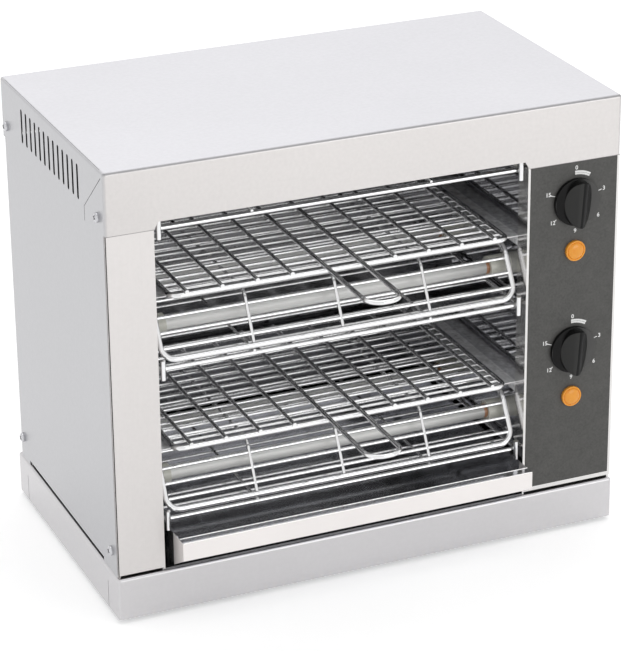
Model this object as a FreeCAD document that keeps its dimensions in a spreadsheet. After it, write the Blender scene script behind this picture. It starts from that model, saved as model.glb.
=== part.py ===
import FreeCAD, Part
import math
import os
import Sketcher
from FreeCAD import Placement, Rotation, Vector

# Commercial sandwich toaster with two toasting levels, in millimetres.
# The origin is the middle of the footprint on the bench, X to the right, Y to the back, Z up.
# A size named drop is measured down from the top, and one named back from the front face.

doc = FreeCAD.newDocument("sandwich_toaster")

SIZES = {
    # outer body
    "body_width": 450,
    "body_depth": 260,
    "cover_height": 349.5,
    "sheet": 1,
    "fold_radius": 2.5,
    "hood_height": 52,
    "hood_lap": 10,
    "notch_rise": 6,
    "notch_slant": 3.5,
    "corner_tab_length": 47.5,
    "corner_tab_height": 54.5,
    "corner_tab_mitre": 42,
    "seam": 0.7,
    "side_setback": 3,
    "rear_recess": 6.5,
    "relief_height": 4,
    "relief_front": 36,
    "relief_length": 195,
    "vent_count": 13,
    "vent_width": 4,
    "vent_height": 29.5,
    "vent_drop": 12,
    "vent_pitch": 11.85,
    "vent_back": 61.5,
    # plinth and feet
    "foot_height": 4,
    "foot_radius": 14,
    "foot_inset": 32,
    "foot_stem": 3,
    "foot_stem_length": 4,
    "plinth_height": 36.5,
    "plinth_proud": 1.2,
    "plinth_sheet": 1.2,
    "plinth_radius": 2.4,
    "plinth_tab_length": 24,
    "base_plate_lift": 1,
    # front pieces
    "stile_width": 40.5,
    "opening_width": 325,
    "front_gap": 2.5,
    "flange_depth": 25,
    "return_depth": 17,
    "fit_gap": 0.3,
    "dial_inset": 40.5,
    "dial_plate_margin": 2.5,
    "dial_plate_top": 1,
    "dial_plate_bottom": 4,
    "dial_plate_sheet": 0.8,
    # cover screws
    "screw_head": 4.2,
    "screw_head_height": 3.4,
    "screw_radius": 2,
    "screw_length": 8,
    "screw_clearance": 0.1,
    "front_screw_back": 14,
    "rear_screw_back": 246,
    "top_screw_drop": 40,
    "low_screw_drop": 329,
    # toasting chamber
    "cavity_depth": 205,
    "roof_drop": 24,
    "level_pitch": 133,
    "rack_drop": 114,
    "rack_half_width": 148,
    "rack_back": 8,
    "rack_depth": 188,
    "rack_rod": 2.5,
    "rack_corner": 8,
    "cross_wire": 1.3,
    "cross_pitch": 12.2,
    "long_wire": 1.7,
    "long_pitch": 30,
    "long_pairs": 5,
    "weld": 0.3,
    "handle_reach": 78,
    "handle_wire": 2,
    "handle_bend": 13,
    "rail_width": 20,
    "rail_leg": 9,
    # quartz tubes
    "top_tube_drop": 38,
    "tube_drop": 149,
    "tube_back": 38,
    "tube_spacing": 92,
    "tube_radius": 6,
    "tube_wall": 1.2,
    "cap_length": 19,
    "cap_radius": 9,
    "neck_radius": 7,
    "neck_length": 9,
    "neck_clearance": 0.2,
    "cap_socket": 10,
    "coil_radius": 4.2,
    "coil_wall": 0.8,
    "pin_radius": 1.5,
    "pin_reach": 8,
    "link_sheet": 0.8,
    "link_width": 9,
    # wire guards
    "cage_drop": 130,
    "cage_foot_drop": 168,
    "cage_back": 8,
    "cage_lean": 22,
    "cage_half_width": 156,
    "cage_rod": 2.5,
    "cage_wire": 1.5,
    "cage_bend": 12,
    "cage_pitch": 20,
    "cage_long_pitch": 78,
    "fence_wires": 3,
    "ceiling_guard_drop": 55,
    "guard_drop": 175,
    "guard_back": 9,
    "guard_half_width": 159.5,
    "guard_rod": 2,
    "guard_wire": 1.25,
    "guard_pitch": 20,
    "guard_bend": 5,
    "peg_length": 16.5,
    "peg_drop": 7.5,
    "peg_radius": 2.2,
    "peg_gap": 0.05,
    "support_pin": 2.5,
    "support_reach": 8,
    # crumb tray
    "tray_width": 315,
    "tray_offset": 2.5,
    "tray_height": 31.5,
    "tray_back": 190,
    "tray_sheet": 0.8,
    "tray_lip": 22,
    "tray_face": 16,
    "tray_rim": 9,
    "tray_slope": 9,
    "tray_tuck": 1,
    "tray_tuck_lift": 3,
    "tray_running_gap": 0.3,
    "tray_guide_gap": 1,
    "tray_guide_height": 8,
    "tray_guide_length": 170,
    # timers, knobs and lamps
    "dial_drop": 87,
    "lamp_drop": 43.6,
    "timer_width": 42,
    "timer_depth": 38,
    "bush_radius": 5,
    "bush_clearance": 0.2,
    "shaft_radius": 3,
    "shaft_clearance": 0.05,
    "shaft_in_timer": 24,
    "knob_radius": 20.5,
    "knob_skirt": 3,
    "knob_crest": 16,
    "knob_shoulder": 11,
    "knob_grip": 9,
    "knob_gap": 0.6,
    "knob_bore": 12,
    "lamp_radius": 9,
    "lamp_rim": 3,
    "lamp_lens": 7.4,
    "lens_height": 4.5,
    "lamp_body": 6,
    "lamp_body_length": 28,
    # rear panel, mains inlet and wiring
    "rear_slot_width": 4,
    "rear_slot_height": 45,
    "rear_slot_pitch": 12,
    "rear_slot_count": 22,
    "rear_slot_drop": 70,
    "rear_slot_left": 70,
    "gland_inset": 40,
    "gland_lift": 40,
    "gland_flange": 12,
    "gland_flange_height": 5,
    "gland_thread": 8,
    "gland_thread_length": 10,
    "gland_nose": 9.5,
    "gland_nose_length": 14,
    "gland_bore": 4.5,
    "gland_clearance": 0.2,
    "gland_nut": 13,
    "gland_nut_height": 5,
    "block_length": 60,
    "block_width": 26,
    "block_height": 20,
    "block_back": 90,
    "block_ways": 5,
    "block_way": 6,
    "block_slot": 7,
}

sheet = doc.addObject("Spreadsheet::Sheet", "Sizes")
for row, (alias, number) in enumerate(SIZES.items(), 1):
    sheet.set("A%d" % row, alias)
    sheet.set("B%d" % row, str(number))
    sheet.setAlias("B%d" % row, alias)
doc.recompute()


class Size:
    """A number that remembers the formula of spreadsheet cells behind it."""

    def __init__(self, formula, number):
        self.formula = formula
        self.number = number

    def join(self, sign, other, number):
        return Size("(%s %s %s)" % (text_of(self), sign, text_of(other)), number)

    def __add__(self, other):
        return self.join("+", other, self.number + number_of(other))

    def __sub__(self, other):
        return self.join("-", other, self.number - number_of(other))

    def __mul__(self, other):
        return self.join("*", other, self.number * number_of(other))

    def __truediv__(self, other):
        return self.join("/", other, self.number / number_of(other))

    def __radd__(self, other):
        return self + other

    def __rmul__(self, other):
        return self * other

    def __rsub__(self, other):
        return Size("(%s - %s)" % (text_of(other), text_of(self)), number_of(other) - self.number)

    def __neg__(self):
        return Size("(-%s)" % self.formula, -self.number)

    def __float__(self):
        return self.number


def text_of(thing):
    return thing.formula if isinstance(thing, Size) else repr(thing)


def number_of(thing):
    return thing.number if isinstance(thing, Size) else float(thing)


class Cells:
    """Every named cell of the sheet as a Size."""

    def __getattr__(self, name):
        return Size("Sizes." + name, float(getattr(sheet, name)))


v = Cells()

# Places that several pieces share.
half_width = v.body_width / 2
front = -(v.body_depth / 2)
back = v.body_depth / 2
plinth_top = v.foot_height + v.plinth_height
top = plinth_top + v.cover_height
hood_bottom = top - v.hood_height
plate_front = front + v.sheet
plate_back = plate_front + v.sheet
opening_left = v.stile_width - half_width
opening_right = opening_left + v.opening_width
opening_middle = opening_left + v.opening_width / 2
wall_left = opening_left - v.sheet
wall_right = opening_right + v.sheet
wall_gap = wall_right - wall_left
cavity_back = front + v.cavity_depth
roof_bottom = top - v.roof_drop
floor_top = plinth_top + v.sheet
flange_face = half_width - v.sheet - v.screw_clearance
rear_face = back - v.rear_recess
dial_middle = half_width - v.dial_inset
dial_face = plate_front - v.dial_plate_sheet
LEVELS = ("upper", "lower")
BANKS = ("top", "middle", "bottom")


def set_size(thing, **sizes):
    for prop, size in sizes.items():
        if isinstance(size, Size):
            thing.setExpression(prop, size.formula)
        else:
            setattr(thing, prop, size)


def move(thing, x=0, y=0, z=0):
    for axis, size in zip("xyz", (x, y, z)):
        if isinstance(size, Size):
            thing.setExpression("Placement.Base." + axis, size.formula)
    return thing


def box(name, length, width, height, x=0, y=0, z=0):
    """A block from its low corner."""
    block = doc.addObject("Part::Box", name)
    set_size(block, Length=length, Width=width, Height=height)
    return move(block, x, y, z)


TURNS = {"X": Rotation(Vector(0, 1, 0), 90), "Y": Rotation(Vector(1, 0, 0), -90), "Z": Rotation()}


def rod(name, radius, length, axis, x=0, y=0, z=0):
    """A round bar that starts at a point and runs along an axis."""
    bar = doc.addObject("Part::Cylinder", name)
    bar.Placement = Placement(Vector(), TURNS[axis])
    set_size(bar, Radius=radius, Height=length)
    return move(bar, x, y, z)


def cone(name, first, last, length, axis, x=0, y=0, z=0):
    taper = doc.addObject("Part::Cone", name)
    taper.Placement = Placement(Vector(), TURNS[axis])
    set_size(taper, Radius1=first, Radius2=last, Height=length)
    return move(taper, x, y, z)


def group(name, pieces):
    together = doc.addObject("Part::Compound", name)
    together.Links = pieces
    return together


def fuse(name, pieces):
    joined = doc.addObject("Part::MultiFuse", name)
    joined.Shapes = pieces
    return joined


def cut(name, base, tools):
    trimmed = doc.addObject("Part::Cut", name)
    trimmed.Base = base
    trimmed.Tool = tools[0] if len(tools) == 1 else fuse(name + "_tools", tools)
    return trimmed


def soften(name, base, radius, chosen):
    """Round the edges for which a test on direction and place says so."""
    doc.recompute()
    centre = base.Shape.BoundBox.Center
    edges = []
    for number, edge in enumerate(base.Shape.Edges, 1):
        run = edge.Vertexes[-1].Point - edge.Vertexes[0].Point
        if chosen(run, edge.CenterOfMass - centre):
            edges.append((number, number_of(radius), number_of(radius)))
    soft = doc.addObject("Part::Fillet", name)
    soft.Base = base
    soft.Edges = edges
    return soft


def upright(run, place):
    return abs(run.x) + abs(run.y) < 0.01


def upright_or_top(run, place):
    return upright(run, place) or (place.z > 0 and abs(run.z) < 0.01)


parts = {}


def keep(node, thing):
    thing.Label = node
    parts[node] = thing
    return thing


def new_body(name):
    return doc.addObject("PartDesign::Body", name)


def new_sketch(body, name, plane):
    sketch = body.newObject("Sketcher::SketchObject", name)
    for feature in body.Origin.OriginFeatures:
        if feature.Role == plane + "_Plane":
            sketch.AttachmentSupport = [(feature, "")]
    sketch.MapMode = "FlatFace"
    return sketch


def pin_point(sketch, shape, end, across, up):
    """Hold one point of a sketch at two sizes from the sketch's origin."""
    for kind, size in (("DistanceX", across), ("DistanceY", up)):
        rule = Sketcher.Constraint(kind, -1, 1, shape, end, number_of(size))
        place = sketch.addConstraint(rule)
        if isinstance(size, Size):
            sketch.setExpression("Constraints[%d]" % place, size.formula)


def outline(sketch, corners):
    """A closed outline with straight sides."""
    first = sketch.GeometryCount
    spots = [Vector(number_of(across), number_of(up), 0) for across, up in corners]
    for index, spot in enumerate(spots):
        sketch.addGeometry(Part.LineSegment(spot, spots[(index + 1) % len(spots)]), False)
    for index, (across, up) in enumerate(corners):
        following = first + (index + 1) % len(spots)
        sketch.addConstraint(Sketcher.Constraint("Coincident", first + index, 2, following, 1))
        pin_point(sketch, first + index, 1, across, up)


def prism(name, plane, corners, length):
    """A body with one straight-sided outline, padded equally both ways from its plane."""
    body = new_body(name)
    sketch = new_sketch(body, name + "_outline", plane)
    outline(sketch, corners)
    pad = body.newObject("PartDesign::Pad", name + "_pad")
    pad.Profile = sketch
    pad.Midplane = True
    pad.setExpression("Length", length.formula)
    return body


def wire(points, bend, radius, closed=False):
    """The shape of a round wire through points, with an arc at each bend."""
    spots = [Vector(*[number_of(size) for size in point]) for point in points]
    bend = number_of(bend)
    count = len(spots)
    arcs = {}
    for index in range(count) if closed else range(1, count - 1):
        here = spots[index]
        before = (spots[index - 1] - here).normalize()
        after = (spots[(index + 1) % count] - here).normalize()
        half_turn = (math.pi - before.getAngle(after)) / 2
        reach = bend * math.tan(half_turn)
        depth = bend / math.cos(half_turn) - bend
        inward = (before + after).normalize()
        arcs[index] = (here + before * reach, here + inward * depth, here + after * reach)
    start = arcs[0][2] if closed else spots[0]
    heading = (spots[1] - spots[0]).normalize()
    edges = []
    place = start
    for index in list(range(1, count)) + ([0] if closed else []):
        into = arcs[index][0] if index in arcs else spots[index]
        edges.append(Part.makeLine(place, into))
        place = into
        if index in arcs:
            edges.append(Part.Arc(*arcs[index]).toShape())
            place = arcs[index][2]
    section = Part.Wire([Part.makeCircle(number_of(radius), start, heading)])
    return Part.Wire(edges).makePipeShell([section], True, False)


def straight(radius, first, last):
    """A straight wire between two points."""
    ends = [Vector(*[number_of(size) for size in point]) for point in (first, last)]
    run = ends[1] - ends[0]
    return Part.makeCylinder(number_of(radius), run.Length, ends[0], run)


def weldment(name, shapes):
    """Wires welded into one solid."""
    thing = doc.addObject("Part::Feature", name)
    thing.Shape = shapes[0].multiFuse(shapes[1:]).removeSplitter() if len(shapes) > 1 else shapes[0]
    return thing


def steps(first, pitch, last):
    """Evenly spaced places from the first up to the last."""
    place = number_of(first)
    while place <= number_of(last) + 0.001:
        yield place
        place += number_of(pitch)


# Plinth: a folded pan, a little proud of the body, with its corner tabs lapped at the back end.
def plinth_block(name, inset, top_inset):
    return box(
        name,
        v.body_width + 2 * v.plinth_proud - 2 * inset,
        v.body_depth + 2 * v.plinth_proud - 2 * inset,
        v.plinth_height - top_inset,
        inset - half_width - v.plinth_proud,
        front - v.plinth_proud + inset,
        v.foot_height,
    )


plinth_outer = soften("plinth_outer", plinth_block("plinth_block", Size("0", 0), 0), v.plinth_radius, upright_or_top)
plinth_inner = plinth_block("plinth_inner", v.plinth_sheet, v.plinth_sheet)
tab_slots = []
for side, x in (("left", -half_width - v.plinth_proud), ("right", half_width + v.plinth_proud - v.plinth_sheet)):
    for end, y in (("front", front + v.plinth_tab_length), ("rear", back - v.plinth_tab_length)):
        tab_slots.append(
            box(
                "plinth_slot_%s_%s" % (side, end),
                v.plinth_sheet,
                v.seam,
                v.plinth_height - v.plinth_tab_length / 2,
                x,
                y,
                v.foot_height,
            )
        )
keep("plinth", cut("plinth_folded", plinth_outer, [plinth_inner] + tab_slots))

# Base plate: closes the plinth from below and carries the four feet.
foot_places = {}
for end, y in (("front", front + v.foot_inset), ("rear", back - v.foot_inset)):
    for side, x in (("left", v.foot_inset - half_width), ("right", half_width - v.foot_inset)):
        foot_places[end + "_" + side] = (x, y)
plate_lift = v.foot_height + v.base_plate_lift
base_blank = box(
    "base_blank",
    v.body_width + 2 * v.plinth_proud - 2 * v.plinth_sheet,
    v.body_depth + 2 * v.plinth_proud - 2 * v.plinth_sheet,
    v.sheet,
    v.plinth_sheet - half_width - v.plinth_proud,
    front - v.plinth_proud + v.plinth_sheet,
    plate_lift,
)
stem_holes = []
for place, (x, y) in foot_places.items():
    hole_radius = v.foot_stem + v.screw_clearance
    stem_holes.append(rod("stem_hole_" + place, hole_radius, 2 * v.sheet, "Z", x, y, plate_lift - v.sheet / 2))
keep("base_plate", cut("base_plate_sheet", base_blank, stem_holes))

# Feet: rubber buttons with a stem through the base plate.
for place, (x, y) in foot_places.items():
    button = cone("foot_button_" + place, v.foot_radius - v.sheet, v.foot_radius, plate_lift, "Z", x, y)
    stem = rod("foot_stem_" + place, v.foot_stem, v.foot_stem_length, "Z", x, y, plate_lift)
    keep(place + "_foot", fuse("foot_" + place, [button, stem]))

# Holes for the cover screws, drilled through the cover and the flanges behind it.
screw_places = []
for end, y in (("front", front + v.front_screw_back), ("rear", front + v.rear_screw_back)):
    for height, z in (("top", top - v.top_screw_drop), ("low", top - v.low_screw_drop)):
        screw_places.append((end + "_" + height, y, z))


def screw_holes(node):
    holes = []
    for place, y, z in screw_places:
        radius = v.screw_radius + v.screw_clearance
        holes.append(rod("%s_hole_%s" % (node, place), radius, v.body_width, "X", -half_width, y, z))
    return holes


# Outer cover: one sheet folded over the top and both sides, with a hood flange front and rear.
cover_block = box("cover_block", v.body_width, v.body_depth, v.cover_height, -half_width, front, plinth_top)
cover_outer = soften("cover_outer", cover_block, v.fold_radius, upright_or_top)
cover_inside = box(
    "cover_inside",
    v.body_width - 2 * v.sheet,
    v.body_depth - 2 * v.sheet,
    v.cover_height - v.sheet,
    v.sheet - half_width,
    front + v.sheet,
    plinth_top,
)
cover_inner = soften("cover_inner", cover_inside, v.fold_radius - v.sheet, upright_or_top)
below_hood = v.cover_height - v.hood_height
cover_tools = [
    cover_inner,
    box("cover_front_cut", v.body_width, v.side_setback, below_hood, -half_width, front, plinth_top),
    box("cover_rear_cut", v.body_width, v.rear_recess, below_hood, -half_width, rear_face, plinth_top),
    box(
        "side_relief",
        v.body_width,
        v.relief_length,
        v.relief_height,
        -half_width,
        front + v.relief_front,
        plinth_top,
    ),
    prism(
        "hood_notch",
        "XZ",
        [
            (opening_left, hood_bottom - v.sheet),
            (opening_left, hood_bottom),
            (opening_left + v.notch_slant, hood_bottom + v.notch_rise),
            (opening_right - v.notch_slant, hood_bottom + v.notch_rise),
            (opening_right, hood_bottom),
            (opening_right, hood_bottom - v.sheet),
        ],
        2 * v.sheet,
    ),
]
move(cover_tools[-1], 0, front + v.sheet / 2, 0)
for index in range(int(v.vent_count.number)):
    y = front + v.vent_back + index * v.vent_pitch
    low = top - v.vent_drop - v.vent_height
    radius = v.vent_width / 2
    name = "vent_%d" % (index + 1)
    height = v.vent_height - v.vent_width
    cover_tools.append(box(name, v.body_width, v.vent_width, height, -half_width, y - radius, low + radius))
    cover_tools.append(rod(name + "_low_end", radius, v.body_width, "X", -half_width, y, low + radius))
    cover_tools.append(rod(name + "_top_end", radius, v.body_width, "X", -half_width, y, low + radius + height))

# Seams round the hood's front corner tabs: a mitre from the top corner, then straight down.
tab_end = front + v.corner_tab_length
for side, x in (("left", -half_width), ("right", half_width - v.sheet)):
    seam = prism(
        "seam_" + side,
        "YZ",
        [
            (front + 2 * v.fold_radius, top - 2 * v.fold_radius),
            (tab_end, top - v.corner_tab_mitre),
            (tab_end, top - v.corner_tab_height),
            (tab_end - v.seam, top - v.corner_tab_height),
            (tab_end - v.seam, top - v.corner_tab_mitre),
            (front + 2 * v.fold_radius, top - 2 * v.fold_radius - v.seam),
        ],
        v.sheet * 2,
    )
    cover_tools.append(move(seam, x + v.sheet / 2, 0, 0))
cover_tools += screw_holes("cover")
keep("outer_cover", cut("cover_folded", cover_outer, cover_tools))

# Cover screws: pan heads outside, shanks through the cover into the flanges.
screws = []
for side, x, sign in (("left", -half_width, 1), ("right", half_width, -1)):
    for place, y, z in screw_places:
        name = "screw_%s_%s" % (side, place)
        head_start = x - v.screw_head_height if sign > 0 else x
        shank_start = x if sign > 0 else x - v.screw_length
        head = rod(name + "_head", v.screw_head, v.screw_head_height, "X", head_start, y, z)
        outer_edge = -sign
        head = soften(
            name + "_pan",
            head,
            v.screw_head_height / 3,
            lambda run, place, outer_edge=outer_edge: run.Length < 0.01 and place.x * outer_edge > 0.5,
        )
        shank = rod(name + "_shank", v.screw_radius, v.screw_length, "X", shank_start, y, z)
        screws.append(fuse(name, [head, shank]))
keep("cover_screws", group("cover_screw_set", screws))


# Front uprights: a face plate with a return along the opening and a flange behind the cover.
# The face ends in a tongue that reaches up behind the hood, clear of the hood's rounded corner.
front_bottom = plinth_top + v.front_gap
upright_height = hood_bottom + v.hood_lap - plinth_top


def front_upright(name, x, width, tongue_x, return_x, flange_x):
    return_height = upright_height - v.sheet
    return fuse(
        name,
        [
            box(name + "_face", width, v.sheet, hood_bottom - front_bottom, x, plate_front, front_bottom),
            box(name + "_tongue", width - v.fold_radius, v.sheet, v.hood_lap, tongue_x, plate_front, hood_bottom),
            box(name + "_return", v.sheet, v.return_depth, return_height, return_x, plate_front, floor_top),
            box(name + "_flange", v.sheet, v.flange_depth, upright_height, flange_x, plate_back, plinth_top),
        ],
    )


tongue_left = v.fold_radius - half_width
stile = front_upright("stile", -half_width, v.stile_width, tongue_left, opening_left - v.sheet, -flange_face)
keep("left_stile", cut("stile_drilled", stile, screw_holes("stile")))

panel_width = half_width - opening_right
panel = front_upright("panel", opening_right, panel_width, opening_right, opening_right, flange_face - v.sheet)
panel_tools = screw_holes("panel")
dial_places = []
for level, name in enumerate(LEVELS):
    dial_places.append((name, top - v.dial_drop - level * v.level_pitch))
bush_hole = v.bush_radius + v.bush_clearance
lamp_hole = v.lamp_body + v.bush_clearance


def front_holes(node):
    holes = []
    for name, z in dial_places:
        depth = 4 * v.sheet
        start = plate_front - 2 * v.sheet
        holes.append(rod("%s_bush_%s" % (node, name), bush_hole, depth, "Y", dial_middle, start, z))
        lamp_z = z - v.lamp_drop
        holes.append(rod("%s_lamp_%s" % (node, name), lamp_hole, depth, "Y", dial_middle, start, lamp_z))
    return holes


keep("control_panel", cut("panel_drilled", panel, panel_tools + front_holes("panel")))

# Dial plate: the dark plate on the control panel that carries the printed scales.
dial_bottom = front_bottom + v.dial_plate_bottom
dial_plate_height = hood_bottom - v.dial_plate_top - dial_bottom
dial_blank = box(
    "dial_blank",
    half_width - opening_right - 2 * v.dial_plate_margin,
    v.dial_plate_sheet,
    dial_plate_height,
    opening_right + v.dial_plate_margin,
    dial_face,
    dial_bottom,
)
keep("dial_plate", cut("dial_plate_drilled", dial_blank, front_holes("dial")))

# Timers, knobs and lamps, one set for each level.
for name, z in dial_places:
    half = v.timer_width / 2
    case = box(name + "_case", v.timer_width, v.timer_depth, v.timer_width, dial_middle - half, plate_back, z - half)
    bush_start = dial_face
    bush = rod(name + "_bush", v.bush_radius, plate_back - dial_face + v.sheet, "Y", dial_middle, bush_start, z)
    bore_length = v.shaft_in_timer + plate_back - dial_face + v.fit_gap
    bore = rod(name + "_bore", v.shaft_radius + v.shaft_clearance, bore_length, "Y", dial_middle, bush_start, z)
    keep(name + "_timer", cut(name + "_timer_bored", fuse(name + "_timer_body", [case, bush]), [bore]))

    knob_back = dial_face - v.knob_gap
    shaft_start = knob_back - v.knob_bore + v.fit_gap
    shaft_length = plate_back + v.shaft_in_timer - shaft_start
    shaft = rod(name + "_spindle", v.shaft_radius, shaft_length, "Y", dial_middle, shaft_start, z)
    keep(name + "_timer_shaft", shaft)

    half_grip = v.knob_grip / 2
    wedge = prism(
        name + "_wedge",
        "XY",
        [
            (-v.knob_radius, 0),
            (-v.knob_radius, -v.knob_skirt),
            (-half_grip, -v.knob_shoulder),
            (-half_grip, -v.knob_crest),
            (half_grip, -v.knob_crest),
            (half_grip, -v.knob_shoulder),
            (v.knob_radius, -v.knob_skirt),
            (v.knob_radius, 0),
        ],
        2 * v.knob_radius,
    )
    move(wedge, dial_middle, knob_back, z)
    barrel = rod(name + "_barrel", v.knob_radius, v.knob_crest, "Y", dial_middle, knob_back - v.knob_crest, z)
    grip = doc.addObject("Part::Common", name + "_grip")
    grip.Base = barrel
    grip.Tool = wedge
    knob_hole = v.shaft_radius + v.shaft_clearance
    knob_bore = rod(name + "_knob_bore", knob_hole, v.knob_bore, "Y", dial_middle, knob_back - v.knob_bore, z)
    keep(name + "_knob", cut(name + "_knob_bored", grip, [knob_bore]))

    lamp_z = z - v.lamp_drop
    lamp_front = dial_face - v.lamp_rim
    ring = rod(name + "_ring", v.lamp_radius, v.lamp_rim, "Y", dial_middle, lamp_front, lamp_z)
    ring_hole = rod(name + "_ring_hole", v.lamp_lens, v.lamp_rim, "Y", dial_middle, lamp_front, lamp_z)
    keep(name + "_lamp_bezel", cut(name + "_bezel_bored", ring, [ring_hole]))
    lens_front = dial_face - v.lens_height
    lens = rod(name + "_lens_disc", v.lamp_lens - v.shaft_clearance, v.lens_height, "Y", dial_middle, lens_front, lamp_z)
    dome = soften(
        name + "_lens_dome", lens, v.lens_height / 3, lambda run, place: run.Length < 0.01 and place.y < -0.5
    )
    keep(name + "_lamp_lens", dome)
    lamp = rod(name + "_lamp_case", v.lamp_body, v.lamp_body_length, "Y", dial_middle, dial_face, lamp_z)
    keep(name + "_lamp_body", lamp)

# Quartz tube places: a front and a rear tube in each of three banks.
tube_places = []
for bank, drop in zip(BANKS, (v.top_tube_drop, v.tube_drop, v.tube_drop + v.level_pitch)):
    for end, shift in (("front", 0), ("rear", v.tube_spacing)):
        tube_places.append((bank, end, front + v.tube_back + shift, top - drop))

# Grids that lie on pins in the chamber's side walls: name, drop and wire radius of each.
pin_rows = [("ceiling", v.ceiling_guard_drop, v.guard_rod)]
for level, name in enumerate(LEVELS):
    pin_rows.append((name + "_cage", v.cage_drop + level * v.level_pitch, v.cage_rod))
    pin_rows.append((name + "_guard", v.guard_drop + level * v.level_pitch, v.guard_rod))


# Chamber: polished side walls, back wall, roof reflector and floor with tray guides.
def side_wall(name, x):
    sheet_depth = cavity_back - plate_back
    wall = box(name + "_sheet", v.sheet, sheet_depth, roof_bottom - plinth_top, x, plate_back, plinth_top)
    holes = []
    for bank, end, y, z in tube_places:
        radius = v.neck_radius + v.neck_clearance
        holes.append(rod("%s_neck_%s_%s" % (name, bank, end), radius, 3 * v.sheet, "X", x - v.sheet, y, z))
    return cut(name + "_pierced", wall, holes)


keep("cavity_left_wall", side_wall("left_wall", wall_left - v.sheet))
keep("cavity_right_wall", side_wall("right_wall", wall_right))
back_height = roof_bottom - plinth_top
back_wall = box("back_sheet", wall_gap + 2 * v.sheet, v.sheet, back_height, wall_left - v.sheet, cavity_back, plinth_top)
keep("cavity_back_wall", back_wall)
roof_depth = cavity_back + v.sheet - plate_front
roof = box("roof_sheet", wall_gap + 2 * v.sheet, roof_depth, v.sheet, wall_left - v.sheet, plate_front, roof_bottom)
keep("roof_reflector", roof)
floor = box("floor_sheet", wall_gap, cavity_back - plate_back, v.sheet, wall_left, plate_back, plinth_top)
guide_gap = v.tray_width / 2 + v.tray_guide_gap
tray_middle = opening_middle + v.tray_offset
guides = []
for side, x in (("left", tray_middle - guide_gap - v.sheet), ("right", tray_middle + guide_gap)):
    guides.append(
        box(
            "tray_guide_" + side,
            v.sheet,
            v.tray_guide_length,
            v.tray_guide_height + v.sheet,
            x,
            plate_back + v.return_depth,
            plinth_top,
        )
    )
keep("cavity_floor", fuse("floor_with_guides", [floor] + guides))

# Support pins: studs on the side walls that the wire grids lie on, two under each end of a grid.
for side, x in (("left", wall_left), ("right", wall_right - v.support_reach)):
    pins = []
    for row_name, drop, radius in pin_rows:
        z = top - drop - radius - v.fit_gap - v.support_pin
        for end, y in (("front", v.tube_back), ("rear", v.tube_back + v.tube_spacing)):
            pin_name = "%s_stud_%s_%s" % (side, row_name, end)
            pins.append(rod(pin_name, v.support_pin, v.support_reach, "X", x, front + y, z))
    keep(side + "_support_pins", group(side + "_stud_set", pins))

# Rack rails: steel angles on the side walls that the racks slide on.
rail_back = plate_front + v.return_depth
rail_length = cavity_back - rail_back
for level, name in enumerate(LEVELS):
    rail_top = top - v.rack_drop - level * v.level_pitch - v.rack_rod - v.fit_gap
    for side, shelf_x, leg_x in (
        ("left", wall_left, wall_left),
        ("right", wall_right - v.rail_width, wall_right - v.sheet),
    ):
        node = "%s_rail_%s" % (name, side)
        shelf = box(node + "_shelf", v.rail_width, rail_length, v.sheet, shelf_x, rail_back, rail_top - v.sheet)
        leg = box(node + "_leg", v.sheet, rail_length, v.rail_leg, leg_x, rail_back, rail_top - v.rail_leg)
        keep(node, fuse(node + "_angle", [shelf, leg]))

# Quartz tubes, with a ceramic cap at each end whose neck passes through the wall.
caps = {"left": [], "right": []}
coils = []
tube_inset = v.cap_length - v.cap_socket
for bank, end, y, z in tube_places:
    name = "%s_%s" % (bank, end)
    tube_start = wall_left + tube_inset
    tube_length = wall_gap - 2 * tube_inset
    glass = rod(name + "_glass", v.tube_radius, tube_length, "X", tube_start, y, z)
    bore = rod(name + "_glass_bore", v.tube_radius - v.tube_wall, tube_length, "X", tube_start, y, z)
    keep(name + "_quartz_tube", cut(name + "_tube_bored", glass, [bore]))
    socket_radius = v.tube_radius + v.shaft_clearance
    pin_hole = v.pin_radius + v.shaft_clearance
    for side, cap_x, neck_x, socket_x in (
        ("left", wall_left, wall_left - v.neck_length, wall_left + tube_inset),
        ("right", wall_right - v.cap_length, wall_right, wall_right - v.cap_length),
    ):
        cap_name = "%s_%s_cap" % (name, side)
        head = rod(cap_name + "_head", v.cap_radius, v.cap_length, "X", cap_x, y, z)
        neck = rod(cap_name + "_neck", v.neck_radius, v.neck_length, "X", neck_x, y, z)
        socket = rod(cap_name + "_socket", socket_radius, v.cap_socket, "X", socket_x, y, z)
        whole_length = v.cap_length + v.neck_length
        hole_x = neck_x if side == "left" else cap_x
        hole = rod(cap_name + "_hole", pin_hole, whole_length, "X", hole_x, y, z)
        caps[side].append(cut(cap_name, fuse(cap_name + "_blank", [head, neck]), [socket, hole]))
    coil_start = tube_start + v.fit_gap
    coil_length = tube_length - 2 * v.fit_gap
    winding = rod(name + "_winding", v.coil_radius, coil_length, "X", coil_start, y, z)
    core_radius = v.coil_radius - v.coil_wall
    core_start = coil_start + v.coil_wall
    core = rod(name + "_core", core_radius, coil_length - 2 * v.coil_wall, "X", core_start, y, z)
    pins = []
    pin_length = tube_inset + v.neck_length + v.pin_reach + v.fit_gap + v.coil_wall
    for side, pin_x in (("left", core_start - pin_length), ("right", core_start + coil_length - 2 * v.coil_wall)):
        pins.append(rod("%s_%s_pin" % (name, side), v.pin_radius, pin_length, "X", pin_x, y, z))
    hollow = cut(name + "_hollow_winding", winding, [core])
    coils.append(fuse(name + "_coil", [hollow] + pins))
keep("heating_coils", group("coil_set", coils))
for side in ("left", "right"):
    keep(side + "_tube_caps", group(side + "_cap_set", caps[side]))

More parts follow.
